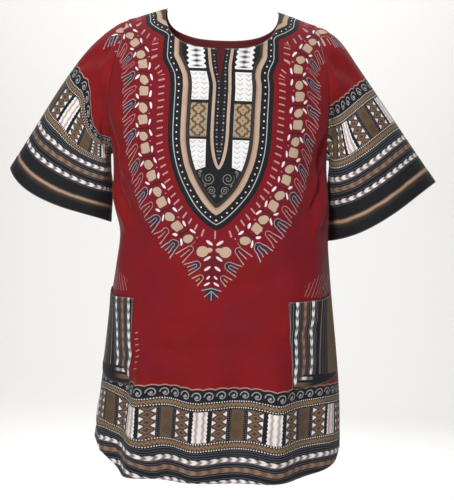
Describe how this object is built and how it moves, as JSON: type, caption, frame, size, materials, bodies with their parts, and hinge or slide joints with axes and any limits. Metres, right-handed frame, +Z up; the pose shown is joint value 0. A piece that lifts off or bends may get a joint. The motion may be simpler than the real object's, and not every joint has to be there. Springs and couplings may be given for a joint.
{
  "type": "dashiki shirt",
  "caption": "Loose short-sleeved pullover shirt in printed cotton, worn shape, with a slit round neck, wide flared sleeves and low patch pockets.",
  "frame": {"origin": "midway between the two neck points at the top of the shoulder seams, where the wearer's shoulders hold the shirt up", "axes": "+Z up, -Y out of the front, +X to the wearer's left"},
  "size_m": [0.7388, 0.3136, 0.7848],
  "materials": {
    "front_cloth": "matt plain-woven printed cotton, red ground",
    "back_cloth": "matt plain-woven printed cotton, red ground",
    "sleeve_cloth": "matt plain-woven printed cotton, red above and charcoal bands below",
    "pocket_cloth": "matt plain-woven printed cotton, charcoal stripes"
  },
  "bodies": {
    "root": {"front": "front_cloth", "back": "back_cloth", "sleeve_right": "sleeve_cloth", "sleeve_left": "sleeve_cloth", "pocket_right": "pocket_cloth", "pocket_left": "pocket_cloth"}
  },
  "joints": []
}
